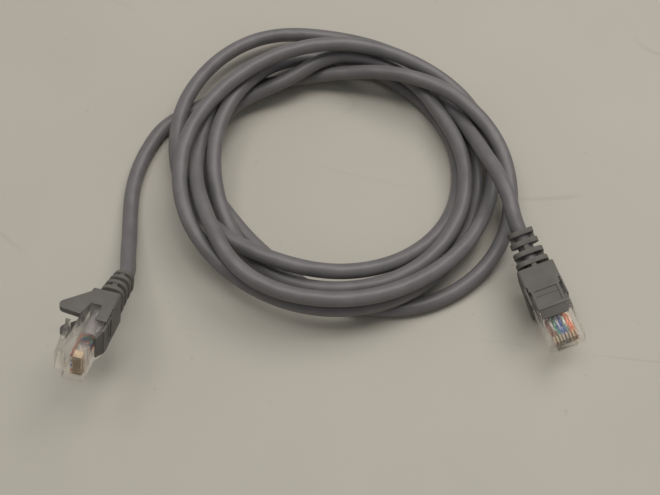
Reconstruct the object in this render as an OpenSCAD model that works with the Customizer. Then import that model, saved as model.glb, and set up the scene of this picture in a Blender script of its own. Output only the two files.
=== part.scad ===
// Ethernet patch cable, laid in a loose coil, with a modular plug and a moulded boot on each end.
// Millimetres. The table is z = 0, and the origin is on it, midway between the two plugs.
// A plug has its own frame: x = 0 at the nose face, the cable leaves towards -x, y is across the
// plug, z = 0 is the latch side and the contacts are on the +z side.

/* [Cable] */
// Diameter of the round jacket
cable_d = 5.2; // [4.8:0.1:5.8]
// Rings along each turn of the coil
rings_per_turn = 24; // [12:12:48]

/* [Conductors] */
// Diameter of one insulated conductor
wire_d = 0.9; // [0.8:0.05:0.95]
// Distance from conductor to conductor, also of the contacts
wire_pitch = 1.02; // [1:0.01:1.1]
// Height of the conductors above the latch side
wire_z = 2.8; // [2.4:0.1:3]
// Distance from the nose face to the conductors' ends
wire_front = 0.6; // [0.5:0.1:0.8]
// Distance from the nose to the end of the conductors' straight length
comb_l = 7.4; // [6.6:0.2:7.8]
// Distance between the two rows in which the conductors leave the jacket
row_gap = 1.3; // [1.2:0.1:1.5]
// Distance from conductor to conductor where they leave the jacket
jacket_pitch = 0.51; // [0.5:0.01:0.55]
// Straight length of the conductors in front of the jacket
wire_lead = 0.5; // [0.3:0.1:0.8]

/* [Plug housing] */
// Length from nose to rear
housing_l = 21.5; // [20:0.5:23]
// Width
housing_w = 11.7; // [11.6:0.1:12]
// Height of the nose, in front of the comb
nose_h = 6.1; // [5.8:0.1:6.4]
// Length of the low nose edge
nose_edge_l = 1.5; // [1:0.1:2]
// Height of the comb behind the nose edge
comb_h = 6.6; // [6.4:0.1:7]
// Wall over the jacket at the rear
rear_wall = 1; // [0.9:0.1:1.4]
// Distance from the nose to the end of the ramp up to the rear
ramp_end = 11; // [10:0.5:12]
// Length of the ramp
ramp_l = 2.4; // [1:0.1:3]
// Height of the cable's axis above the latch side
axis_z = 4.4; // [4.2:0.1:4.6]
// Distance from the nose to the end of the jacket
jacket_back = 11.2; // [11:0.1:12]
// Clearance round the jacket and the conductors
tunnel_gap = 0.15; // [0.1:0.05:0.2]

/* [Contacts] */
// Thickness of a contact blade
blade_t = 0.35; // [0.25:0.05:0.4]
// Length of a contact blade
blade_l = 2.4; // [2:0.1:3]
// Distance from the nose face to the blades
blade_back = 0.3; // [0.2:0.1:0.6]
// Depth of the blades' top edges below the comb
blade_sink = 0.7; // [0.5:0.1:1]
// Width of a comb slot
slot_w = 0.6; // [0.5:0.05:0.65]
// Length of the comb slots
slot_l = 5.6; // [4.5:0.1:6]
// Depth of a blade's tip below the middle of its conductor
pierce = 0.2; // [0.1:0.1:0.3]
// Radius of a blade's front corner
blade_corner_r = 0.5; // [0.3:0.1:0.8]
// Points on a blade
blade_tips = 2; // [1:1:3]
// Gap between a blade's body and its conductor
blade_gap = 0.05; // [0.02:0.01:0.1]

/* [Latch] */
// Width of the latch at its root and shoulders
latch_w = 6.4; // [5.8:0.1:6.8]
// Width of the neck that passes through the jack
latch_neck_w = 3.3; // [3:0.1:3.6]
// Width of the finger pad
latch_pad_w = 5.4; // [5:0.1:6]
// Thickness of the latch
latch_t = 1; // [0.9:0.1:1.3]
// Distance from the nose to the shoulders
latch_shoulder = 7.7; // [7:0.1:8.4]
// Distance from the nose to the finger pad
latch_neck_end = 11; // [10:0.2:12]
// Distance from the nose to the end of the latch
latch_l = 15.2; // [14.6:0.2:15.4]
// Drop of the latch's end below the latch side
latch_drop = 4.2; // [3.8:0.1:4.4]
// Radius of the root that the latch bends about
latch_root_r = 0.8; // [0.6:0.1:0.9]
// Distance from the nose to the middle of the root
latch_root_back = 1.1; // [1:0.1:1.4]
// Drop of the root's web below the latch side
latch_web_h = 2.3; // [2:0.1:2.6]
// Height of the lip across the latch's end, above and below it
latch_lip = 0.2; // [0.1:0.1:0.6]
// Thickness of that lip
latch_lip_t = 0.7; // [0.5:0.1:1]
// Running gap round the root
latch_gap = 0.08; // [0.05:0.01:0.1]

/* [Cord clamp] */
// Length of the clamp bar
clamp_l = 3; // [2.4:0.2:3.6]
// Width of the clamp bar
clamp_w = 6.6; // [6:0.2:7]
// Distance from the nose to the middle of the clamp bar
clamp_back = 14; // [13.6:0.2:14.6]
// Depth of the clamp bar's top below the top of the housing
clamp_sink = 0.7; // [0.5:0.1:1]
// Height of the clamp bar's underside above the cable's axis
clamp_wrap = 1.2; // [0.8:0.1:1.6]
// Gap round the clamp bar
clamp_gap = 0.05; // [0.03:0.01:0.1]

/* [Boot] */
// Width of the block
boot_w = 12.4; // [12.3:0.1:13]
// Thickness of the boot above the housing
boot_top_t = 0.7; // [0.6:0.1:1]
// Thickness of the boot below the housing
boot_floor_t = 0.4; // [0.3:0.1:0.6]
// Distance from the nose to the rear of the block
block_back = 27; // [25.5:0.5:28]
// Distance from the nose to the front of the side walls
wall_front = 20.4; // [19.5:0.1:21]
// Distance from the nose to the front of the side rails
rail_front = 14.1; // [13.6:0.1:15]
// Distance from the nose to the front of the tongue
tongue_front = 11.5; // [11.2:0.1:12]
// Width of the tongue
tongue_w = 9.4; // [9:0.1:9.6]
// Length of the tongue's lip, down the ramp
lip_l = 2.2; // [1.8:0.1:2.3]
// Width of the lip's edge
lip_w = 8.2; // [7.6:0.2:8.8]
// Thickness of the lip's edge
lip_t = 0.5; // [0.3:0.1:0.7]
// Step from the tongue down to the lip
lip_step = 0.3; // [0.2:0.1:0.4]
// Width of the rails beside the tongue
rail_w = 0.5; // [0.4:0.05:0.6]
// Distance from the nose to the rear end of the slots beside the tongue
slot_back = 18.5; // [18:0.1:19]
// Depth of the recessed panel
panel_depth = 0.35; // [0.2:0.05:0.4]
// Width of the recessed panel
panel_w = 7.6; // [7:0.1:8]
// Distance from the nose to the rear of the recessed panel
panel_back = 18.2; // [17.6:0.1:18.4]
// Width of the rim in front of the panel
panel_rim = 1.1; // [0.8:0.1:1.4]
// Distance from the panel's rear to the low ridge across it
panel_ridge_back = 1.5; // [1.2:0.1:2]
// Width of that ridge
panel_ridge_w = 0.5; // [0.3:0.1:0.8]
// Corner radius of the block
block_r = 1; // [0.8:0.1:1.4]
// Drop of the side rails along the housing
rail_drop = 3.1; // [2:0.1:3.4]
// Step from the tongue down to the rails
rail_step = 0.3; // [0.1:0.1:0.4]
// Length of the catch under the tongue
catch_l = 1.6; // [1.2:0.1:2]
// Width of the catch
catch_w = 5; // [4:0.2:5.6]
// Gap between the boot and what it holds
boot_gap = 0.05; // [0.03:0.01:0.08]

/* [Ears] */
// Thickness of an ear
ear_t = 1.8; // [1.4:0.1:2]
// Radius of an ear's tip
ear_tip_r = 1.9; // [1.5:0.1:2.2]
// Distance from the nose to the middle of the tip
ear_tip_back = 17.5; // [17:0.1:18.5]
// Drop of the middle of the tip below the latch side
ear_tip_drop = 5.3; // [4.8:0.1:5.6]
// Distance from the nose to the front foot of an ear
ear_front = 15; // [14.6:0.1:15.5]
// Height at which the ears start on the block
ear_rise = 1.5; // [1:0.1:2]

/* [Strain relief] */
// Number of rings
relief_rings = 4; // [3:1:5]
// Length of one ring along the cable
ring_l = 1.6; // [1.4:0.1:2]
// Length of one gap
gap_l = 2; // [1.5:0.1:2.2]
// Width of the first ring, next to the block
relief_w = 10.8; // [10:0.2:11.4]
// Width of the last ring
collar_w = 8.6; // [8:0.2:9]
// Height of the first ring
relief_h = 7.6; // [7.4:0.1:8]
// Height of the last ring
collar_h = 7; // [6.9:0.1:7.4]
// Corner radius of the rings
relief_r = 3; // [2:0.1:3.2]
// Height of the rings' middle above the cable's axis
relief_rise = 0.3; // [0:0.1:0.4]
// Distance from a ring's outside in to its ribs
rib_inset = 0.3; // [0.2:0.1:0.5]
// Width of the ribs between the rings
rib_w = 1.6; // [1.4:0.1:2.2]

/* [Hidden] */
CONDUCTORS = ["brown", "white_brown", "green", "white_blue", "blue", "white_green", "orange", "white_orange"];
CONDUCTOR_COLOURS = ["saddlebrown", "wheat", "seagreen", "lightsteelblue", "royalblue", "honeydew",
                     "darkorange", "navajowhite"];
SHELLS = ["housing", "latch", "contacts", "cord_clamp", "boot", "jacket_end"];

n_wires = len(CONDUCTORS);
tiny = 0.01;
cut = 1;
bite = 0.2;
rib_bite = 1;
round_fn = 48;

// Where the plugs lie: roll about the plug's axis, tilt (nose down is positive) and turn about z,
// then the place of the middle of the nose's latch-side edge.
plug_a = [[-95.5, -21, -100.7], [-76.9, -26.2, 32]];
plug_b = [[14, -3, -74.5], [76.5, -11, 9.4]];

// How each strain relief is bent: the angle at its end, and the side that it bends towards, turned
// about the plug's axis from the contact side.
bend_a = [12, -90];
bend_b = [24, 0];

relief_pitch = ring_l + gap_l;
jacket_r = cable_d / 2;
tunnel_r = jacket_r + tunnel_gap;
rear_h = axis_z + jacket_r + rear_wall;
wire_r = wire_d / 2;
comb_w = n_wires * wire_pitch;
ramp_start = ramp_end - ramp_l;
boot_top = rear_h + boot_top_t;
clamp_top = rear_h - clamp_sink;

// The coil is wound clockwise round its centre and is laid by the clock, twelve stations to a turn.
// A row is one turn, and gives the distance of the cable's axis from the centre.
coil_centre = [5, 61];
hours_per_turn = 12;
first_hour = 10;
turn_radii = [
    [59, 46.5, 40, 40.5, 48, 57, 62.5, 60.5, 53, 44, 43, 48.5],
    [48, 41, 45, 45, 41.5, 43, 46, 49.5, 51, 50, 46, 44.5],
    [45.5, 48, 48, 44.5, 42.5, 42, 42.5, 43.5, 45.5, 48, 52.5, 58],
    [63.5, 65.5, 61, 56.5, 51.5, 48, 50, 55, 58.5, 59, 58.5, 54.5],
    [48.5, 45.5, 45.5, 48, 53, 53.5, 53.5, 55.5, 58, 59, 52.5, 50.5],
    [50.5, 52, 53, 50.5, 47],
];
// The height of the cable's axis at the same stations: on the table, or over the strands below it.
turn_heights = [
    [2.6, 2.6, 8.5, 14, 14.5, 11, 5, 2.6, 2.6, 2.6, 3, 4.5],
    [5.5, 9.5, 12.5, 9, 8.5, 9, 9, 9, 9, 7, 8, 13],
    [14, 11.5, 6.5, 3, 2.6, 3, 4, 7, 11, 13.5, 11.5, 8.5],
    [8.5, 7.5, 3.5, 2.6, 2.6, 2.6, 3.5, 7, 9.5, 11, 15, 17.5],
    [19, 19.5, 18.5, 14.5, 8.5, 6, 9, 13, 15.5, 17.5, 17.5, 12],
    [11, 7, 3.5, 3, 7],
];
// The free stretches, from the coil to the plugs.
tail_a_points = [[-60, 80, 2.6], [-64.5, 71.5, 2.6], [-67.5, 62, 2.6], [-68.8, 52.5, 2.6], [-68.5, 42.5, 3],
                 [-67.5, 32.5, 4.8], [-66.5, 23, 8]];
tail_b_points = [[51.3, 71.8, 10.4], [54, 60, 16], [57.8, 48.5, 19], [61, 37.5, 19]];

coil_sides = 6;
tail_sides = 10;
run_sides = 24;
samples_per_ring = 4;
// Strands count as neighbours when they lie more than this share of a turn apart along the cable.
neighbour_share = 0.2;

// ---- curves ----

function unit(v) = v / norm(v);
function flat(rows) = [for (row = rows) for (value = row) value];
function pick(values, i) = values[max(0, min(i, len(values) - 1))];

// A smooth curve through evenly spaced values.
function smooth(values, t) =
    let (i = floor(t), f = t - i)
    let (a = pick(values, i - 1), b = pick(values, i), c = pick(values, i + 1), d = pick(values, i + 2))
    b + f * (c - a) / 2
      + pow(f, 2) * (2 * a - 5 * b + 4 * c - d) / 2
      + pow(f, 3) * (3 * b - 3 * c + d - a) / 2;

radii = flat(turn_radii);
heights = flat(turn_heights);
last_station = len(radii) - 1;

function coil_point(station) =
    let (angle = 90 - 360 * (first_hour + station) / hours_per_turn)
    let (r = smooth(radii, station), z = max(smooth(heights, station), jacket_r))
    [coil_centre[0] + r * cos(angle), coil_centre[1] + r * sin(angle), z];

station_step = hours_per_turn / rings_per_turn;
coil_rings = [for (station = [0 : station_step : last_station]) coil_point(station)];

// A straight run of one cable diameter beyond the first or the last of two points.
function run_out(from, to, length) = to + unit(to - from) * length;
coil_start = run_out(coil_rings[1], coil_rings[0], cable_d);
coil_end = run_out(coil_rings[len(coil_rings) - 2], coil_rings[len(coil_rings) - 1], cable_d);
coil_path = concat([coil_start], coil_rings, [coil_end]);

function turned(v, a) =
    let (x = [v[0], v[1] * cos(a[0]) - v[2] * sin(a[0]), v[1] * sin(a[0]) + v[2] * cos(a[0])])
    let (y = [x[0] * cos(a[1]) + x[2] * sin(a[1]), x[1], x[2] * cos(a[1]) - x[0] * sin(a[1])])
    [y[0] * cos(a[2]) - y[1] * sin(a[2]), y[0] * sin(a[2]) + y[1] * cos(a[2]), y[2]];
function in_plug(plug, p) = plug[1] + turned(p, plug[0]);

// The cable's axis through the strain relief, in the plug's frame: one straight step for each ring and
// its gap. It bends most next to the block.
function step_angle(i, bend) = bend[0] * sqrt(i / relief_rings);
function step_way(i, bend) = let (a = step_angle(i, bend)) turned([-cos(a), 0, sin(a)], [bend[1], 0, 0]);
function step_end(i, bend) =
    i == 0 ? [-block_back, 0, axis_z] : step_end(i - 1, bend) + relief_pitch * step_way(i, bend);

// From the coil to the boot: a straight run out of the coil, the free points, a straight run in.
function tail_path(from, to, points, plug, bend) =
    let (entry = step_end(relief_rings, bend), way = step_way(relief_rings, bend))
    concat([to, run_out(from, to, cable_d)], points,
           [in_plug(plug, entry + cable_d * way), in_plug(plug, entry)]);
path_a = tail_path(coil_rings[0], coil_start, tail_a_points, plug_a, bend_a);
path_b = tail_path(coil_rings[len(coil_rings) - 1], coil_end, tail_b_points, plug_b, bend_b);

// Least distance between strands of a path, less one diameter.
function between(path, step) = [
    for (i = [0 : len(path) - 2])
        for (k = [0 : step - 1])
            path[i] + (path[i + 1] - path[i]) * k / step
];
function least_gap(points, skip) =
    min([for (i = [0 : len(points) - skip - 1]) min([for (j = [i + skip : len(points) - 1])
        norm(points[i] - points[j])])]) - cable_d;
function path_length(path) = [for (i = [1 : len(path) - 1]) norm(path[i] - path[i - 1])];
function sum(values, i = 0) = i < len(values) ? values[i] + sum(values, i + 1) : 0;

// ---- solids ----

// A round tube swept along a path, with a flat side down.
module tube(path, r, sides) {
    last = len(path) - 1;
    points = [
        for (i = [0 : last])
            let (along = unit(path[min(i + 1, last)] - path[max(i - 1, 0)]))
            let (side = unit(cross(along, [0, 0, 1])), up = cross(side, along))
            for (k = [0 : sides - 1]) path[i] + r * (side * cos(360 * k / sides) + up * sin(360 * k / sides))
    ];
    walls = [
        for (i = [0 : last - 1])
            for (k = [0 : sides - 1])
                let (a = i * sides + k, b = i * sides + (k + 1) % sides)
                each [[a, b, a + sides], [b, b + sides, a + sides]]
    ];
    first_cap = [for (k = [1 : sides - 2]) [0, k + 1, k]];
    last_cap = [for (k = [1 : sides - 2]) [last * sides, last * sides + k, last * sides + k + 1]];
    polyhedron(points, concat(walls, first_cap, last_cap));
}

module place(plug) {
    translate(plug[1]) rotate(plug[0]) children();
}

// A side view (x, z) pushed out across the plug, w wide.
module across(w) {
    rotate([90, 0, 0]) linear_extrude(w, center = true) children();
}

// A box given by its two x places, its width and its two z places.
module bar(x0, x1, w, z0, z1) {
    translate([x0, -w / 2, z0]) cube([x1 - x0, w, z1 - z0]);
}

// A rounded rectangle, w by h, pushed out along +x from x0.
module rounded_bar(x0, length, w, h, r) {
    translate([x0, 0, 0]) rotate([90, 0, 90]) linear_extrude(length) {
        square([w - 2 * r, h], center = true);
        square([w, h - 2 * r], center = true);
        for (y = [-1, 1], z = [-1, 1]) translate([y * (w / 2 - r), z * (h / 2 - r)]) circle(r, $fn = round_fn);
    }
}

// A round rod along +x, from x0 to x1, about the height z.
module rod(x0, x1, r, y = 0, z = axis_z) {
    translate([x0, y, z]) rotate([0, 90, 0]) cylinder(h = x1 - x0, r = r, $fn = round_fn);
}

// ---- the cable ----

module cable_coil() {
    gap = least_gap(between(coil_path, samples_per_ring),
                    ceil(neighbour_share * rings_per_turn * samples_per_ring));
    echo(str("least gap of the coil to itself: ", gap, " mm"));
    echo(str("length of the whole cable: ",
             sum(path_length(coil_path)) + sum(path_length(path_a)) + sum(path_length(path_b))
             + 2 * (block_back - jacket_back + relief_rings * relief_pitch), " mm"));
    color("dimgray") tube(coil_path, jacket_r, coil_sides);
}

module cable_tail(path) {
    color("dimgray") tube(path, jacket_r, tail_sides);
}

// ---- the plug ----

// Place across the plug of conductor i, and of its contact blade.
function wire_y(i) = (i - (n_wires - 1) / 2) * wire_pitch;

tunnel_w = comb_w + 2 * tunnel_gap;
wire_channel = wire_r + tunnel_gap;

module housing() {
    color("gainsboro", 0.4) difference() {
        across(housing_w) polygon([
            [-housing_l, 0], [0, 0], [0, nose_h], [-nose_edge_l, nose_h], [-nose_edge_l, comb_h],
            [-ramp_start, comb_h], [-ramp_end, rear_h], [-housing_l, rear_h]
        ]);
        // One tunnel for the jacket, the fanned conductors and their flat row.
        across(tunnel_w) polygon([
            [-housing_l - cut, axis_z - tunnel_r], [-jacket_back, axis_z - tunnel_r],
            [-comb_l, wire_z - wire_channel], [-wire_front + tunnel_gap, wire_z - wire_channel],
            [-wire_front + tunnel_gap, wire_z + wire_channel], [-comb_l, wire_z + wire_channel],
            [-jacket_back, axis_z + tunnel_r], [-housing_l - cut, axis_z + tunnel_r]
        ]);
        for (i = [0 : n_wires - 1]) translate([0, wire_y(i), 0]) bar(-slot_l, cut, slot_w, wire_z, comb_h + cut);
        bar(-clamp_back - clamp_l / 2 - clamp_gap, -clamp_back + clamp_l / 2 + clamp_gap,
            clamp_w + 2 * clamp_gap, axis_z, rear_h + cut);
        across(latch_w + 2 * latch_gap) latch_root(latch_root_r + latch_gap);
    }
}

module latch_root(r) {
    translate([-latch_root_back, 0]) circle(r, $fn = round_fn);
}

// The latch hangs from its root by a web, narrows behind its shoulders and widens to the finger pad.
module latch() {
    color("gainsboro", 0.4) intersection() {
        across(latch_w) union() {
            latch_root(latch_root_r);
            polygon([
                [latch_root_r - latch_root_back, 0], [-latch_root_r - latch_root_back, 0],
                [-latch_root_r - latch_root_back, latch_t - latch_web_h], [-latch_l, latch_t - latch_drop],
                [-latch_l, -latch_drop], [latch_root_r - latch_root_back, -latch_web_h]
            ]);
            translate([-latch_l, -latch_drop - latch_lip]) square([latch_lip_t, latch_t + 2 * latch_lip]);
        }
        translate([0, 0, -housing_l]) linear_extrude(2 * housing_l) union() {
            translate([-latch_shoulder, -latch_w / 2]) square([latch_shoulder + cut, latch_w]);
            translate([-latch_l, -latch_neck_w / 2]) square([latch_l, latch_neck_w]);
            translate([-latch_l, -latch_pad_w / 2]) square([latch_l - latch_neck_end, latch_pad_w]);
        }
    }
}

blade_top = comb_h - blade_sink;
blade_low = wire_z + wire_r + blade_gap;

// A blade: its front top corner is round, and two points go down through the conductor's insulation.
module contact_blade() {
    tip_l = blade_l / blade_tips;
    across(blade_t) translate([-blade_back - blade_l, 0]) {
        translate([0, blade_low]) square([blade_l, blade_top - blade_corner_r - blade_low]);
        translate([0, blade_low]) square([blade_l - blade_corner_r, blade_top - blade_low]);
        translate([blade_l - blade_corner_r, blade_top - blade_corner_r]) circle(blade_corner_r, $fn = round_fn);
        for (i = [0 : blade_tips - 1])
            polygon([[i * tip_l, blade_low], [(i + 1) * tip_l, blade_low], [(i + 0.5) * tip_l, wire_z - pierce]]);
    }
}

module contacts() {
    color("gold") for (i = [0 : n_wires - 1]) translate([0, wire_y(i), 0]) contact_blade();
}

// The bar that is pressed down on the jacket when the plug is crimped.
module cord_clamp() {
    color("gainsboro", 0.4) difference() {
        bar(-clamp_back - clamp_l / 2, -clamp_back + clamp_l / 2, clamp_w, axis_z + clamp_wrap, clamp_top);
        rod(-clamp_back - clamp_l, -clamp_back + clamp_l, jacket_r + tiny);
    }
}

// What lies along the cable's axis at step i of the strain relief; x = 0 is where the step starts.
module relief_step(i, bend) {
    translate(step_end(i - 1, bend)) rotate([bend[1], 0, 0]) rotate([0, step_angle(i, bend), 0])
        rotate([-bend[1], 0, 0]) children();
}

// A round rod along the cable's axis, from inside the plug to the collar and over beyond it.
module cable_run(front, r, over, bend) {
    tube(concat([[front, 0, axis_z], [-block_back, 0, axis_z]], [for (i = [1 : relief_rings])
        step_end(i, bend) + (i == relief_rings ? over : 0) * step_way(i, bend)]), r, run_sides);
}

module jacket_end(bend) {
    color("dimgray") cable_run(-jacket_back, jacket_r, 0, bend);
}

// Conductor i runs flat under its blade, then closes in to one of two rows at the end of the jacket.
module conductor(i) {
    row = i % 2 == 0 ? 1 : -1;
    y = wire_y(i);
    jacket_y = y / wire_pitch * jacket_pitch;
    jacket_z = axis_z + row * row_gap / 2;
    color(CONDUCTOR_COLOURS[i]) difference() {
        tube([[-wire_front, y, wire_z], [-comb_l, y, wire_z],
              [-jacket_back + wire_lead, jacket_y, jacket_z], [-jacket_back, jacket_y, jacket_z]],
             wire_r, tail_sides);
        translate([0, y, 0]) bar(-blade_back - blade_l - tiny, cut, blade_t + 2 * tiny, wire_z - pierce - tiny, comb_h);
    }
}

// ---- the boot ----

// Where a line from p touches a circle: side is 1 or -1.
function touch(p, centre, r, side) =
    let (d = norm(centre - p), l = sqrt(d * d - r * r))
    let (angle = atan2(centre[1] - p[1], centre[0] - p[0]) + side * asin(r / d))
    p + l * [cos(angle), sin(angle)];

// One ear, seen from the side: a plate that narrows to a round tip below the latch.
module ear_outline() {
    rear_foot = [-block_back, ear_rise];
    front_foot = [-ear_front, 0];
    tip = [-ear_tip_back, -ear_tip_drop];
    polygon([rear_foot, touch(rear_foot, tip, ear_tip_r, -1), tip, touch(front_foot, tip, ear_tip_r, 1),
             front_foot, [-wall_front, ear_rise]]);
    translate(tip) circle(ear_tip_r, $fn = round_fn);
}

function ring_share(i) = (i - 1) / max(relief_rings - 1, 1);
function ring_w(i) = relief_w + (collar_w - relief_w) * ring_share(i);
function ring_h(i) = relief_h + (collar_h - relief_h) * ring_share(i);

// Rings round the cable, joined in turn by ribs above and below it and by ribs at its sides.
module strain_relief(bend) {
    for (i = [1 : relief_rings]) relief_step(i, bend) translate([0, 0, relief_rise]) {
        rounded_bar(-relief_pitch, ring_l, ring_w(i), ring_h(i), relief_r);
        if (i % 2 == 1)
            bar(-gap_l - rib_bite, rib_bite, rib_w, rib_inset - ring_h(i) / 2, ring_h(i) / 2 - rib_inset);
        else
            bar(-gap_l - rib_bite, rib_bite, ring_w(i) - 2 * rib_inset, -rib_w / 2, rib_w / 2);
    }
}

// Height of the housing's ramp at a distance from the nose.
function ramp_z(back) = comb_h + (rear_h - comb_h) * (back - ramp_start) / ramp_l;

// The tongue lies on the housing, narrows in front of its step and goes on down the ramp.
module tongue() {
    lip_back = ramp_end - lip_l;
    intersection() {
        across(tongue_w) polygon([
            [-slot_back - bite, rear_h], [-ramp_end, rear_h], [-lip_back, ramp_z(lip_back)],
            [-lip_back, ramp_z(lip_back) + lip_t], [-tongue_front, boot_top - lip_step],
            [-tongue_front, boot_top], [-slot_back - bite, boot_top]
        ]);
        linear_extrude(2 * boot_top) polygon([
            [-housing_l, -tongue_w / 2], [-housing_l, tongue_w / 2], [-tongue_front, tongue_w / 2],
            [-lip_back, lip_w / 2], [-lip_back, -lip_w / 2], [-tongue_front, -tongue_w / 2]
        ]);
    }
}

// The space for the housing inside the boot.
module housing_room() {
    across(housing_w + 2 * boot_gap) polygon([
        [-housing_l - boot_gap, -boot_gap], [cut, -boot_gap], [cut, comb_h + boot_gap],
        [-ramp_start, comb_h + boot_gap], [-ramp_end, rear_h + boot_gap],
        [-housing_l - boot_gap, rear_h + boot_gap]
    ]);
}

// The recessed panel on the tongue, with a low ridge across it.
module panel_recess() {
    ridge = -panel_back + panel_ridge_back;
    bar(-panel_back, ridge, panel_w, boot_top - panel_depth, boot_top + cut);
    bar(ridge + panel_ridge_w, -tongue_front - panel_rim, panel_w, boot_top - panel_depth, boot_top + cut);
    bar(-panel_back, -tongue_front - panel_rim, panel_w, boot_top - panel_depth / 2, boot_top + cut);
}

module boot(bend) {
    color("gray") difference() {
        union() {
            translate([0, 0, (boot_top - boot_floor_t) / 2])
                rounded_bar(-block_back, block_back - wall_front, boot_w, boot_top + boot_floor_t, block_r);
            bar(-wall_front - bite, -slot_back, boot_w - 2 * block_r, rear_h, boot_top);
            tongue();
            for (side = [-1, 1])
                translate([0, side * (boot_w - rail_w) / 2, 0])
                    bar(-wall_front - bite, -rail_front, rail_w, rear_h - rail_drop, boot_top - rail_step);
            for (side = [-1, 1]) translate([0, side * (boot_w - ear_t) / 2, 0]) across(ear_t) ear_outline();
            strain_relief(bend);
        }
        housing_room();
        cable_run(-housing_l, jacket_r + boot_gap, cut, bend);
        panel_recess();
    }
    // The catch under the tongue, in the window over the clamp.
    color("gray") bar(-clamp_back - catch_l / 2, -clamp_back + catch_l / 2, catch_w,
                      clamp_top + boot_gap, rear_h + boot_gap + tiny);
}

cable_coil();
cable_tail(path_a);  // cable_tail_a
cable_tail(path_b);  // cable_tail_b
place(plug_a) housing();  // housing_a
place(plug_b) housing();  // housing_b
place(plug_a) latch();  // latch_a
place(plug_b) latch();  // latch_b
place(plug_a) contacts();  // contacts_a
place(plug_b) contacts();  // contacts_b
place(plug_a) cord_clamp();  // cord_clamp_a
place(plug_b) cord_clamp();  // cord_clamp_b
place(plug_a) boot(bend_a);  // boot_a
place(plug_b) boot(bend_b);  // boot_b
place(plug_a) jacket_end(bend_a);  // jacket_end_a
place(plug_b) jacket_end(bend_b);  // jacket_end_b
for (i = [0 : n_wires - 1]) {
    place(plug_a) conductor(i);
    place(plug_b) conductor(i);
}
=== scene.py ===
"""Looks of the ethernet patch cable: jacket, moulded boots, clear plugs, conductors and contacts."""

import math

import bmesh
import bpy
import numpy as np
from mathutils import Matrix, Vector


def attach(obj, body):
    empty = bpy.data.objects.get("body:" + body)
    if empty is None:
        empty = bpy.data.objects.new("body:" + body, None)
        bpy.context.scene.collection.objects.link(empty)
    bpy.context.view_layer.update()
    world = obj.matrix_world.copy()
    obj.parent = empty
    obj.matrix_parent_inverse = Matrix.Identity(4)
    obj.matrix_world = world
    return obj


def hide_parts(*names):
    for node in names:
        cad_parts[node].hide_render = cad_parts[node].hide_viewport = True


MM = 0.001

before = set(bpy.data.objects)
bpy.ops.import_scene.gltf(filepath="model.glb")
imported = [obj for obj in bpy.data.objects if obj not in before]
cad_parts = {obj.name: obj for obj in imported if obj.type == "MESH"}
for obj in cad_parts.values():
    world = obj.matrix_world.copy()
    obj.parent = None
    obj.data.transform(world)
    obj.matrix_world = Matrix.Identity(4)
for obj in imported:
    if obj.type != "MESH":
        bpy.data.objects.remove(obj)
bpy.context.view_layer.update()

# ---- camera ----

CAMERA_PLACE = (1, -145, 304.8)
# Degrees from straight down.
CAMERA_TILT = 30
SENSOR_W = 36
# The frame's width and the camera's focal length, in pixels.
FRAME_W = 660
FOCAL_LENGTH = 1020

camera = bpy.data.objects.new("camera", bpy.data.cameras.new("camera"))
bpy.context.scene.collection.objects.link(camera)
camera.location = Vector(CAMERA_PLACE) * MM
camera.rotation_euler = (math.radians(CAMERA_TILT), 0, 0)
camera.data.sensor_width = SENSOR_W
camera.data.lens = SENSOR_W * FOCAL_LENGTH / FRAME_W
camera.data.clip_start = 0.01
camera.data.clip_end = 20
bpy.context.scene.camera = camera

# ---- the cable's route ----

# A plug's turns about x, y and z in degrees, and the place of the middle of its nose's latch-side edge.
PLUGS = {
    "a": ((-95.5, -21, -100.7), (-76.9, -26.2, 32)),
    "b": ((14, -3, -74.5), (76.5, -11, 9.4)),
}
CABLE_D = 5.2
CABLE_R = CABLE_D / 2
CABLE_SIDES = 28
# Where the cable's axis, the end of its jacket and the back of the boot's block are, in the plug's frame.
AXIS_Z = 4.4
JACKET_BACK = 11.2
BLOCK_BACK = 27
RELIEF_RINGS = 4
RELIEF_PITCH = 3.6
# How each strain relief is bent: the angle at its end, and the side that it bends towards, turned about
# the plug's axis from the contact side.
BENDS = {"a": (12, -90), "b": (24, 0)}
COIL_CENTRE = (5, 61)
# How far the free cable starts inside the collars.
INSIDE = 1
# The coil runs clockwise from ten o'clock, with a radius and a height at every hour.
HOURS_PER_TURN = 12
FIRST_HOUR = 10
TURN_RADII = [
    59, 46.5, 40, 40.5, 48, 57, 62.5, 60.5, 53, 44, 43, 48.5,
    48, 41, 45, 45, 41.5, 43, 46, 49.5, 51, 50, 46, 44.5,
    45.5, 48, 48, 44.5, 42.5, 42, 42.5, 43.5, 45.5, 48, 52.5, 58,
    63.5, 65.5, 61, 56.5, 51.5, 48, 50, 55, 58.5, 59, 58.5, 54.5,
    48.5, 45.5, 45.5, 48, 53, 53.5, 53.5, 55.5, 58, 59, 52.5, 50.5,
    50.5, 52, 53, 50.5, 47,
]
TURN_HEIGHTS = [
    2.6, 2.6, 8.5, 14, 14.5, 11, 5, 2.6, 2.6, 2.6, 3, 4.5,
    5.5, 9.5, 12.5, 9, 8.5, 9, 9, 9, 9, 7, 8, 13,
    14, 11.5, 6.5, 3, 2.6, 3, 4, 7, 11, 13.5, 11.5, 8.5,
    8.5, 7.5, 3.5, 2.6, 2.6, 2.6, 3.5, 7, 9.5, 11, 15, 17.5,
    19, 19.5, 18.5, 14.5, 8.5, 6, 9, 13, 15.5, 17.5, 17.5, 12,
    11, 7, 3.5, 3, 7,
]
# The free stretches, from the coil towards their boots.
TAIL_A = [(-60, 80, 2.6), (-64.5, 71.5, 2.6), (-67.5, 62, 2.6), (-68.8, 52.5, 2.6), (-68.5, 42.5, 3),
          (-67.5, 32.5, 4.8), (-66.5, 23, 8)]
TAIL_B = [(51.3, 71.8, 10.4), (54, 60, 16), (57.8, 48.5, 19), (61, 37.5, 19)]


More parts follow.
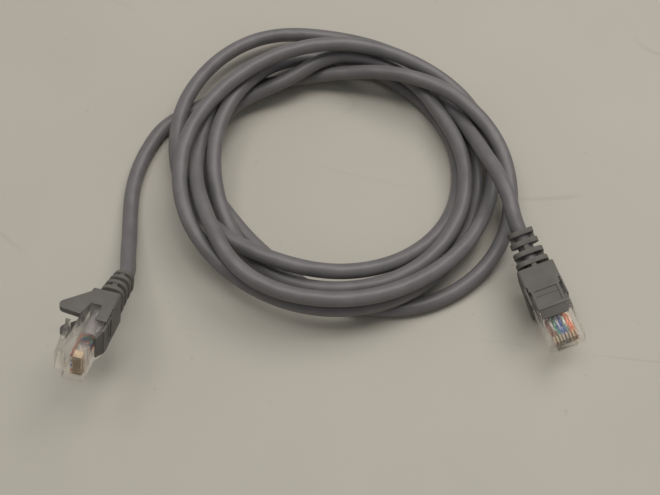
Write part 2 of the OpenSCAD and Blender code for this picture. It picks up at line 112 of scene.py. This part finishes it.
def plug_matrix(end):
    """The plug's own frame, in millimetres, to the row frame, in metres."""
    turns, place = PLUGS[end]
    x, y, z = (math.radians(angle) for angle in turns)
    rotation = Matrix.Rotation(z, 4, "Z") @ Matrix.Rotation(y, 4, "Y") @ Matrix.Rotation(x, 4, "X")
    return Matrix.Translation(Vector(place) * MM) @ rotation @ Matrix.Scale(MM, 4)


def in_plug(end, x, y, z):
    """A place in the plug's frame, given in the row frame, both in millimetres."""
    return np.array(plug_matrix(end) @ Vector((x, y, z))) / MM


def step_way(end, i):
    """The cable's way through step i of the strain relief, in the plug's frame."""
    angle, side = BENDS[end]
    a, b = math.radians(angle * math.sqrt(i / RELIEF_RINGS)), math.radians(side)
    return np.array([-math.cos(a), -math.sin(a) * math.sin(b), math.sin(a) * math.cos(b)])


def step_end(end, i):
    """The end of step i of the strain relief on the cable's axis, in the plug's frame."""
    if i == 0:
        return np.array([-BLOCK_BACK, 0, AXIS_Z])
    return step_end(end, i - 1) + RELIEF_PITCH * step_way(end, i)


def at_collar(end, further):
    """A place on the cable's axis, further out than the end of the strain relief."""
    return in_plug(end, *(step_end(end, RELIEF_RINGS) + further * step_way(end, RELIEF_RINGS)))


def smooth_value(values, t):
    """A smooth curve through evenly spaced values."""
    i = int(math.floor(t))
    f = t - i
    a, b, c, d = (values[max(0, min(k, len(values) - 1))] for k in (i - 1, i, i + 1, i + 2))
    return (
        b + f * (c - a) / 2
        + f**2 * (2 * a - 5 * b + 4 * c - d) / 2
        + f**3 * (3 * b - 3 * c + d - a) / 2
    )


def coil_point(station):
    """The coil's centreline at a station, counted in hours from its start."""
    angle = math.radians(90 - 360 * (FIRST_HOUR + station) / HOURS_PER_TURN)
    r = smooth_value(TURN_RADII, station)
    z = max(smooth_value(TURN_HEIGHTS, station), CABLE_R)
    return np.array([COIL_CENTRE[0] + r * math.cos(angle), COIL_CENTRE[1] + r * math.sin(angle), z])


def centripetal(points, step):
    """A smooth line through the points, sampled about every step."""
    points = [np.array(p, float) for p in points]
    points = [2 * points[0] - points[1]] + points + [2 * points[-1] - points[-2]]
    line = []
    for p0, p1, p2, p3 in zip(points, points[1:], points[2:], points[3:]):
        t0 = 0.0
        t1 = t0 + math.sqrt(np.linalg.norm(p1 - p0))
        t2 = t1 + math.sqrt(np.linalg.norm(p2 - p1))
        t3 = t2 + math.sqrt(np.linalg.norm(p3 - p2))
        count = max(1, int(round(np.linalg.norm(p2 - p1) / step)))
        for k in range(count):
            t = t1 + (t2 - t1) * k / count
            a1 = (t1 - t) / (t1 - t0) * p0 + (t - t0) / (t1 - t0) * p1
            a2 = (t2 - t) / (t2 - t1) * p1 + (t - t1) / (t2 - t1) * p2
            a3 = (t3 - t) / (t3 - t2) * p2 + (t - t2) / (t3 - t2) * p3
            b1 = (t2 - t) / (t2 - t0) * a1 + (t - t0) / (t2 - t0) * a2
            b2 = (t3 - t) / (t3 - t1) * a2 + (t - t1) / (t3 - t1) * a3
            line.append((t2 - t) / (t2 - t1) * b1 + (t - t1) / (t2 - t1) * b2)
    line.append(points[-2])
    return np.array(line)


def even(line, step):
    """The same line with evenly spaced points."""
    along = np.concatenate([[0], np.cumsum(np.linalg.norm(np.diff(line, axis=0), axis=1))])
    places = np.linspace(0, along[-1], int(round(along[-1] / step)) + 1)
    return np.stack([np.interp(places, along, line[:, k]) for k in range(3)], axis=1)


def eased(line, rounds):
    """Rounds off the line's small kinks; its two ends stay straight and in place."""
    line = line.copy()
    for _ in range(rounds):
        line[2:-2] = 0.25 * line[1:-3] + 0.5 * line[2:-2] + 0.25 * line[3:-1]
    return line


def run_out(start, end, length):
    """The place that lies further on from start to end by the length."""
    return end + (end - start) / np.linalg.norm(end - start) * length


def inside_line(end):
    """The jacket's centreline from its end inside the plug to just inside the collar, in metres."""
    points = [in_plug(end, -JACKET_BACK, 0, AXIS_Z)]
    points += [in_plug(end, *step_end(end, i)) for i in range(RELIEF_RINGS)]
    points += [at_collar(end, -INSIDE)]
    return eased(even(centripetal(points, step=1.0), step=0.8), rounds=3) * MM


def cable_line():
    """The centreline from the left boot, round the coil, to the right boot, in metres."""
    last = len(TURN_RADII) - 1
    stations = np.arange(0, last + 0.01, 0.25)
    coil = [coil_point(s) for s in stations]
    coil_start = run_out(coil_point(0.5), coil[0], CABLE_D)
    coil_end = run_out(coil_point(last - 0.5), coil[-1], CABLE_D)
    points = [at_collar("a", -INSIDE), at_collar("a", CABLE_D)]
    points += TAIL_A[::-1] + [coil_start] + coil + [coil_end] + TAIL_B
    points += [at_collar("b", CABLE_D), at_collar("b", -INSIDE)]
    line = eased(even(centripetal(points, step=1.0), step=1.5), rounds=5)
    line[:, 2] = np.maximum(line[:, 2], CABLE_R)
    return line * MM


# ---- shader helpers ----

BLACK = (0, 0, 0)
WHITE = (1, 1, 1)
# How often a conductor's stripe winds round it in a metre.
STRIPE_TURNS = 90.0


def new_material(name):
    material = bpy.data.materials.new(name)
    material.use_nodes = True
    return material, material.node_tree.nodes, material.node_tree.links


def coordinates(nodes, links, source, scale=(1.0, 1.0, 1.0)):
    """Texture coordinates from the object or its own UV map, stretched by scale."""
    place = nodes.new("ShaderNodeTexCoord")
    mapping = nodes.new("ShaderNodeMapping")
    mapping.inputs["Scale"].default_value = scale
    links.new(place.outputs[source], mapping.inputs["Vector"])
    return mapping.outputs["Vector"]


def noise(nodes, links, vector, scale, detail=3.0, roughness=0.5):
    texture = nodes.new("ShaderNodeTexNoise")
    texture.inputs["Scale"].default_value = scale
    texture.inputs["Detail"].default_value = detail
    texture.inputs["Roughness"].default_value = roughness
    links.new(vector, texture.inputs["Vector"])
    return texture.outputs["Fac"]


def ramp(nodes, links, factor, stops):
    """Colours or grey levels by factor; each stop is (place, colour)."""
    node = nodes.new("ShaderNodeValToRGB")
    for _ in stops[2:]:
        node.color_ramp.elements.new(0.5)
    for element, (place, colour) in zip(node.color_ramp.elements, stops):
        element.position = place
        element.color = (*colour, 1) if len(colour) == 3 else colour
    links.new(factor, node.inputs["Fac"])
    return node.outputs["Color"]


def bump(nodes, links, height, distance, strength=1.0, under=None):
    """A bump of so many metres, over another bump where one is given."""
    node = nodes.new("ShaderNodeBump")
    node.inputs["Strength"].default_value = strength
    node.inputs["Distance"].default_value = distance
    links.new(height, node.inputs["Height"])
    if under is not None:
        links.new(under, node.inputs["Normal"])
    return node.outputs["Normal"]


def spread(colour, share):
    """A darker and a lighter shade of a colour."""
    return [tuple(c * (1 - share) for c in colour), tuple(min(c * (1 + share), 1) for c in colour)]


def jacket_material():
    """Satin PVC: faint blotches, a fine grain, and the low swells that the twisted pairs press into it."""
    material, nodes, links = new_material("jacket_pvc")
    shader = nodes["Principled BSDF"]
    along = coordinates(nodes, links, "UV")
    place = coordinates(nodes, links, "Object")
    dark, light = spread((0.150, 0.142, 0.146), 0.1)
    links.new(ramp(nodes, links, noise(nodes, links, place, 140, 3), [(0.3, dark), (0.7, light)]),
              shader.inputs["Base Color"])
    grain = noise(nodes, links, place, 2600, 2)
    swell = noise(nodes, links, place, 95, 1)
    links.new(ramp(nodes, links, noise(nodes, links, along, 60, 2),
                   [(0.3, (0.38, 0.38, 0.38)), (0.7, (0.5, 0.5, 0.5))]), shader.inputs["Roughness"])
    links.new(bump(nodes, links, grain, 0.00004, 0.6, bump(nodes, links, swell, 0.0014, 0.6)),
              shader.inputs["Normal"])
    shader.inputs["Specular IOR Level"].default_value = 0.48
    return material


def boot_material():
    """Matte moulded PVC with a fine spark-eroded texture."""
    material, nodes, links = new_material("boot_pvc")
    shader = nodes["Principled BSDF"]
    place = coordinates(nodes, links, "Object")
    dark, light = spread((0.130, 0.123, 0.111), 0.08)
    links.new(ramp(nodes, links, noise(nodes, links, place, 220, 4), [(0.3, dark), (0.7, light)]),
              shader.inputs["Base Color"])
    links.new(ramp(nodes, links, noise(nodes, links, place, 500, 2),
                   [(0.3, (0.56, 0.56, 0.56)), (0.7, (0.68, 0.68, 0.68))]), shader.inputs["Roughness"])
    links.new(bump(nodes, links, noise(nodes, links, place, 3400, 2), 0.00005, 0.7), shader.inputs["Normal"])
    shader.inputs["Specular IOR Level"].default_value = 0.35
    return material


def clear_material(name, tint, cloud, veil):
    """Clear moulded polycarbonate with faint flow lines: cloud is the roughness of its skin, and veil is how
    much it bends or holds back, seen straight on and at a grazing angle. It lets lamp light through."""
    material, nodes, links = new_material(name)
    shader = nodes["Principled BSDF"]
    place = coordinates(nodes, links, "Object")
    dark, light = spread(tint, 0.02)
    links.new(ramp(nodes, links, noise(nodes, links, place, 180, 2), [(0.3, dark), (0.7, light)]),
              shader.inputs["Base Color"])
    links.new(ramp(nodes, links, noise(nodes, links, place, 320, 3),
                   [(0.3, (cloud,) * 3), (0.7, (cloud + 0.05,) * 3)]), shader.inputs["Roughness"])
    links.new(bump(nodes, links, noise(nodes, links, place, 420, 2), 0.00006, 0.35), shader.inputs["Normal"])
    facing = nodes.new("ShaderNodeLayerWeight")
    facing.inputs["Blend"].default_value = 0.35
    held = ramp(nodes, links, facing.outputs["Facing"], [(0.1, (veil[0],) * 3), (0.9, (veil[1],) * 3)])
    path = nodes.new("ShaderNodeLightPath")
    shade = nodes.new("ShaderNodeMath")
    shade.operation = "MULTIPLY_ADD"
    shade.inputs[1].default_value = -0.85
    shade.inputs[2].default_value = 1.0
    links.new(path.outputs["Is Shadow Ray"], shade.inputs[0])
    alpha = nodes.new("ShaderNodeMath")
    alpha.operation = "MULTIPLY"
    links.new(held, alpha.inputs[0])
    links.new(shade.outputs[0], alpha.inputs[1])
    links.new(alpha.outputs[0], shader.inputs["Alpha"])
    shader.inputs["Transmission Weight"].default_value = 0.94
    shader.inputs["IOR"].default_value = 1.15
    return material


def gold_material():
    """Gold plate with fine drawn scratches."""
    material, nodes, links = new_material("gold_plate")
    shader = nodes["Principled BSDF"]
    place = coordinates(nodes, links, "Object")
    dark, light = spread((0.48, 0.365, 0.24), 0.12)
    links.new(ramp(nodes, links, noise(nodes, links, place, 900, 3), [(0.3, dark), (0.7, light)]),
              shader.inputs["Base Color"])
    links.new(ramp(nodes, links, noise(nodes, links, place, 1500, 2),
                   [(0.3, (0.22, 0.22, 0.22)), (0.7, (0.36, 0.36, 0.36))]), shader.inputs["Roughness"])
    links.new(bump(nodes, links, noise(nodes, links, place, 5000, 2), 0.00001, 0.5), shader.inputs["Normal"])
    shader.inputs["Metallic"].default_value = 0.3
    return material


def insulation_material(name, colour, stripe=None):
    """Conductor insulation: one colour, or a pale one with a coloured stripe wound round it."""
    material, nodes, links = new_material(name)
    shader = nodes["Principled BSDF"]
    place = coordinates(nodes, links, "Object")
    dark, light = spread(colour, 0.08)
    mottled = ramp(nodes, links, noise(nodes, links, place, 900, 3), [(0.3, dark), (0.7, light)])
    if stripe is None:
        links.new(mottled, shader.inputs["Base Color"])
    else:
        along = coordinates(nodes, links, "UV")
        split = nodes.new("ShaderNodeSeparateXYZ")
        links.new(along, split.inputs["Vector"])
        wind = nodes.new("ShaderNodeMath")
        wind.operation = "MULTIPLY_ADD"
        wind.inputs[1].default_value = STRIPE_TURNS
        links.new(split.outputs["Y"], wind.inputs[0])
        links.new(split.outputs["X"], wind.inputs[2])
        part = nodes.new("ShaderNodeMath")
        part.operation = "FRACT"
        links.new(wind.outputs[0], part.inputs[0])
        band = ramp(nodes, links, part.outputs[0],
                    [(0.0, WHITE), (0.24, WHITE), (0.27, BLACK), (0.97, BLACK), (1.0, WHITE)])
        mix = nodes.new("ShaderNodeMix")
        mix.data_type = "RGBA"
        links.new(band, mix.inputs["Factor"])
        links.new(mottled, mix.inputs["A"])
        mix.inputs["B"].default_value = (*stripe, 1)
        links.new(mix.outputs["Result"], shader.inputs["Base Color"])
    links.new(bump(nodes, links, noise(nodes, links, place, 4000, 2), 0.00001, 0.4), shader.inputs["Normal"])
    shader.inputs["Roughness"].default_value = 0.38
    return material


# ---- tubes along a line ----


def tube_tree(name, material):
    """A round tube along a curve, with a UV map: round the tube and along it, in metres."""
    tree = bpy.data.node_groups.new(name, "GeometryNodeTree")
    tree.interface.new_socket("Geometry", in_out="INPUT", socket_type="NodeSocketGeometry")
    tree.interface.new_socket("Radius", in_out="INPUT", socket_type="NodeSocketFloat")
    tree.interface.new_socket("Sides", in_out="INPUT", socket_type="NodeSocketInt")
    tree.interface.new_socket("Geometry", in_out="OUTPUT", socket_type="NodeSocketGeometry")
    nodes, links = tree.nodes, tree.links
    given, made = nodes.new("NodeGroupInput"), nodes.new("NodeGroupOutput")
    lengths = nodes.new("GeometryNodeSplineParameter")
    keep_along = nodes.new("GeometryNodeCaptureAttribute")
    keep_along.domain = "POINT"
    keep_along.capture_items.new("FLOAT", "Along")
    links.new(given.outputs["Geometry"], keep_along.inputs["Geometry"])
    links.new(lengths.outputs["Length"], keep_along.inputs["Along"])
    circle = nodes.new("GeometryNodeCurvePrimitiveCircle")
    links.new(given.outputs["Radius"], circle.inputs["Radius"])
    links.new(given.outputs["Sides"], circle.inputs["Resolution"])
    round_share = nodes.new("GeometryNodeSplineParameter")
    keep_round = nodes.new("GeometryNodeCaptureAttribute")
    keep_round.domain = "POINT"
    keep_round.capture_items.new("FLOAT", "Round")
    links.new(circle.outputs["Curve"], keep_round.inputs["Geometry"])
    links.new(round_share.outputs["Factor"], keep_round.inputs["Round"])
    sweep = nodes.new("GeometryNodeCurveToMesh")
    sweep.inputs["Fill Caps"].default_value = True
    links.new(keep_along.outputs["Geometry"], sweep.inputs["Curve"])
    links.new(keep_round.outputs["Geometry"], sweep.inputs["Profile Curve"])
    pair = nodes.new("ShaderNodeCombineXYZ")
    links.new(keep_round.outputs["Round"], pair.inputs["X"])
    links.new(keep_along.outputs["Along"], pair.inputs["Y"])
    store = nodes.new("GeometryNodeStoreNamedAttribute")
    store.data_type = "FLOAT2"
    store.domain = "CORNER"
    store.inputs["Name"].default_value = "UVMap"
    links.new(sweep.outputs["Mesh"], store.inputs["Geometry"])
    links.new(pair.outputs["Vector"], store.inputs["Value"])
    shade = nodes.new("GeometryNodeSetShadeSmooth")
    links.new(store.outputs["Geometry"], shade.inputs["Geometry"])
    whole = nodes.new("GeometryNodeRealizeInstances")
    links.new(shade.outputs["Geometry"], whole.inputs["Geometry"])
    finish = nodes.new("GeometryNodeSetMaterial")
    finish.inputs["Material"].default_value = material
    links.new(whole.outputs["Geometry"], finish.inputs["Geometry"])
    links.new(finish.outputs["Geometry"], made.inputs["Geometry"])
    return tree


def curve_object(name, line):
    curve = bpy.data.curves.new(name, "CURVE")
    curve.dimensions = "3D"
    spline = curve.splines.new("POLY")
    spline.points.add(len(line) - 1)
    for point, place in zip(spline.points, line):
        point.co = (*place, 1)
    thing = bpy.data.objects.new(name, curve)
    bpy.context.scene.collection.objects.link(thing)
    return thing


def grown(source, name, tree, values):
    """Runs a tree on an object with the values for its inputs, and keeps the result as a plain mesh."""
    modifier = source.modifiers.new(tree.name, "NODES")
    modifier.node_group = tree
    sockets = {s.name: s.identifier for s in tree.interface.items_tree if s.in_out == "INPUT"}
    for label, value in values.items():
        modifier[sockets[label]] = value
    evaluated = source.evaluated_get(bpy.context.evaluated_depsgraph_get())
    mesh = bpy.data.meshes.new_from_object(evaluated)
    bpy.data.objects.remove(source)
    mesh.name = name
    thing = bpy.data.objects.new(name, mesh)
    bpy.context.scene.collection.objects.link(thing)
    return thing


jacket = jacket_material()
jacket_tube = tube_tree("jacket_tube", jacket)
line = cable_line()
jacket_size = {"Radius": CABLE_R * MM, "Sides": CABLE_SIDES}
cable = grown(curve_object("cable_line", line), "cable", jacket_tube, jacket_size)
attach(cable, "cable")
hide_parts("cable_coil", "cable_tail_a", "cable_tail_b")

for end in "ab":
    inside = curve_object("inside_line", inside_line(end))
    stub = grown(inside, f"jacket_inside_{end}", jacket_tube, jacket_size)
    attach(stub, "cable")
    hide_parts(f"jacket_end_{end}")

# ---- boots ----

# Edges that turn by more degrees than the first are rounded, and by more than the second shade as edges.
ROUNDED_ANGLE = 30
SHADED_ANGLE = 35
# Corners of the node's loose triangles closer than this, in metres, are one.
SAME_CORNER = 2e-6
BOOT_EDGE = 0.22
HOUSING_EDGE = 0.12
LATCH_EDGE = 0.15


def moulded(name, node, edge, material):
    """The node's form with its edges rounded as a mould leaves them."""
    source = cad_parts[node]
    form = bmesh.new()
    form.from_mesh(source.data)
    bmesh.ops.remove_doubles(form, verts=form.verts, dist=SAME_CORNER)
    bmesh.ops.dissolve_limit(form, angle_limit=math.radians(1), verts=form.verts, edges=form.edges)
    turn = math.radians(ROUNDED_ANGLE)
    sharp = [e for e in form.edges if len(e.link_faces) == 2 and e.calc_face_angle(0) > turn]
    bmesh.ops.bevel(form, geom=sharp, offset=edge * MM, offset_type="OFFSET", segments=2, profile=0.6,
                    affect="EDGES", clamp_overlap=True)
    mesh = bpy.data.meshes.new(name)
    form.to_mesh(mesh)
    form.free()
    mesh.materials.clear()
    mesh.materials.append(material)
    thing = bpy.data.objects.new(name, mesh)
    bpy.context.scene.collection.objects.link(thing)
    mesh.shade_smooth()
    mesh.set_sharp_from_angle(angle=math.radians(SHADED_ANGLE))
    return thing


boot_pvc = boot_material()
for end in "ab":
    boot = moulded(f"moulded_boot_{end}", f"boot_{end}", BOOT_EDGE, boot_pvc)
    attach(boot, "cable")
    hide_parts(f"boot_{end}")

# ---- clear shells ----

shell_clear = clear_material("plug_clear", (0.95, 0.92, 0.88), 0.02, (0.8, 0.95))
bar_clear = clear_material("clamp_clear", (0.93, 0.90, 0.86), 0.15, (0.8, 0.95))
for end in "ab":
    for node, body, edge in (("housing", "cable", HOUSING_EDGE), ("latch", f"latch_{end}", LATCH_EDGE)):
        shell = moulded(f"clear_{node}_{end}", f"{node}_{end}", edge, shell_clear)
        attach(shell, body)
        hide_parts(f"{node}_{end}")

# ---- conductors ----

WIRE_R = 0.45
WIRE_SIDES = 18
WIRE_PITCH = 1.02
WIRE_Z = 2.8
# From the nose: the front of the conductors, and the end of the comb that they lie in.
WIRE_FRONT = 0.6
COMB_L = 7.4
# How far they run on side by side behind the comb, and their last straight piece before the jacket.
WIRE_RUN = 1.8
WIRE_LEAD = 0.5
# Between the two rows, and between the conductors of a row, where they come out of the jacket.
ROW_GAP = 1.3
JACKET_PITCH = 0.51
# Name, colour and stripe, in the order that they lie in the comb.
CONDUCTORS = [
    ("brown", (0.16, 0.05, 0.03), None),
    ("white_brown", (0.50, 0.47, 0.45), (0.19, 0.07, 0.05)),
    ("green", (0.03, 0.18, 0.11), None),
    ("white_blue", (0.47, 0.50, 0.56), (0.05, 0.11, 0.36)),
    ("blue", (0.02, 0.05, 0.25), None),
    ("white_green", (0.47, 0.52, 0.49), (0.03, 0.22, 0.14)),
    ("orange", (0.60, 0.15, 0.06), None),
    ("white_orange", (0.58, 0.38, 0.28), (0.60, 0.17, 0.07)),
]


def conductor_line(end, index):
    """Flat under its contact, then closing in to one of two rows at the end of the jacket."""
    y = (index - (len(CONDUCTORS) - 1) / 2) * WIRE_PITCH
    jacket_y = y / WIRE_PITCH * JACKET_PITCH
    jacket_z = AXIS_Z + (1 if index % 2 == 0 else -1) * ROW_GAP / 2
    points = [(-WIRE_FRONT, y, WIRE_Z), (-COMB_L, y, WIRE_Z), (-COMB_L - WIRE_RUN, y * 0.99, WIRE_Z + 0.05),
              (-JACKET_BACK + WIRE_LEAD, jacket_y, jacket_z), (-JACKET_BACK + 0.02, jacket_y, jacket_z)]
    points = [in_plug(end, *p) for p in points]
    return eased(even(centripetal(points, step=0.2), step=0.25), rounds=1) * MM


wire_size = {"Radius": WIRE_R * MM, "Sides": WIRE_SIDES}
for index, (name, colour, stripe) in enumerate(CONDUCTORS):
    insulation = insulation_material(f"insulation_{name}", colour, stripe)
    tree = tube_tree(f"wire_tube_{name}", insulation)
    for end in "ab":
        wire_line = conductor_line(end, index)
        wire = grown(curve_object("wire_line", wire_line), f"wire_{name}_{end}", tree, wire_size)
        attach(wire, "cable")
        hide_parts(f"conductor_{name}_{end}")

# ---- what the CAD nodes keep ----

gold = gold_material()
for end in "ab":
    for node, material in (("contacts", gold), ("cord_clamp", bar_clear)):
        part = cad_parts[f"{node}_{end}"]
        part.data.materials.clear()
        part.data.materials.append(material)

# ---- table and light ----


def table_material():
    """Matte pale laminate: a faint cloudiness, a few fine scratches and specks."""
    material, nodes, links = new_material("table_top")
    shader = nodes["Principled BSDF"]
    place = coordinates(nodes, links, "Object")
    dark, light = spread((0.474, 0.452, 0.395), 0.02)
    cloudy = ramp(nodes, links, noise(nodes, links, place, 18, 4), [(0.3, dark), (0.7, light)])
    drawn = coordinates(nodes, links, "Object", (2.6, 9.0, 1.0))
    line = ramp(nodes, links, noise(nodes, links, drawn, 1.3, 1, 0.3),
                [(0.496, BLACK), (0.5, WHITE), (0.504, BLACK)])
    broken = ramp(nodes, links, noise(nodes, links, place, 14, 2), [(0.5, BLACK), (0.62, WHITE)])
    speck = ramp(nodes, links, noise(nodes, links, place, 260, 1), [(0.77, BLACK), (0.79, WHITE)])
    mark = nodes.new("ShaderNodeMath")
    mark.operation = "MULTIPLY_ADD"
    for source, socket in ((line, 0), (broken, 1), (speck, 2)):
        links.new(source, mark.inputs[socket])
    worn = nodes.new("ShaderNodeMix")
    worn.data_type = "RGBA"
    links.new(ramp(nodes, links, mark.outputs[0], [(0.0, BLACK), (1.0, (0.28, 0.28, 0.28))]),
              worn.inputs["Factor"])
    links.new(cloudy, worn.inputs["A"])
    worn.inputs["B"].default_value = (0.30, 0.28, 0.24, 1)
    links.new(worn.outputs["Result"], shader.inputs["Base Color"])
    shader.inputs["Roughness"].default_value = 0.55
    shader.inputs["Specular IOR Level"].default_value = 0.25
    return material


# Half the side of the table, in metres.
TABLE_HALF = 3.0
corners = [(x * TABLE_HALF, y * TABLE_HALF, 0) for x, y in ((-1, -1), (1, -1), (1, 1), (-1, 1))]
table_mesh = bpy.data.meshes.new("table")
table_mesh.from_pydata(corners, [], [(0, 1, 2, 3)])
table_mesh.materials.append(table_material())
table = bpy.data.objects.new("table", table_mesh)
bpy.context.scene.collection.objects.link(table)


# What the lamps are aimed at, in metres.
LAMP_AIM = (0, 0.05, 0)


def area_light(name, place, size, power, colour):
    """A round lamp: its place and size in metres, and its power in watts."""
    light = bpy.data.lights.new(name, "AREA")
    light.shape = "DISK"
    light.size = size
    light.energy = power
    light.color = colour
    lamp = bpy.data.objects.new(name, light)
    bpy.context.scene.collection.objects.link(lamp)
    lamp.location = place
    lamp.rotation_euler = (Vector(LAMP_AIM) - Vector(place)).to_track_quat("-Z", "Y").to_euler()


area_light("lamp_over", (0.06, 0.14, 1.2), 0.55, 3.9, (1.0, 0.97, 0.93))
area_light("lamp_right", (0.47, 0.50, 0.95), 0.7, 4.4, (1.0, 0.97, 0.93))
area_light("lamp_left", (-0.45, 0.18, 1.2), 0.45, 2.2, (1.0, 0.98, 0.95))

world = bpy.data.worlds.new("room")
bpy.context.scene.world = world
world.use_nodes = True
background = world.node_tree.nodes["Background"]
background.inputs["Color"].default_value = (1.0, 0.99, 0.97, 1)
background.inputs["Strength"].default_value = 0.28

bpy.context.scene.view_settings.view_transform = "Standard"
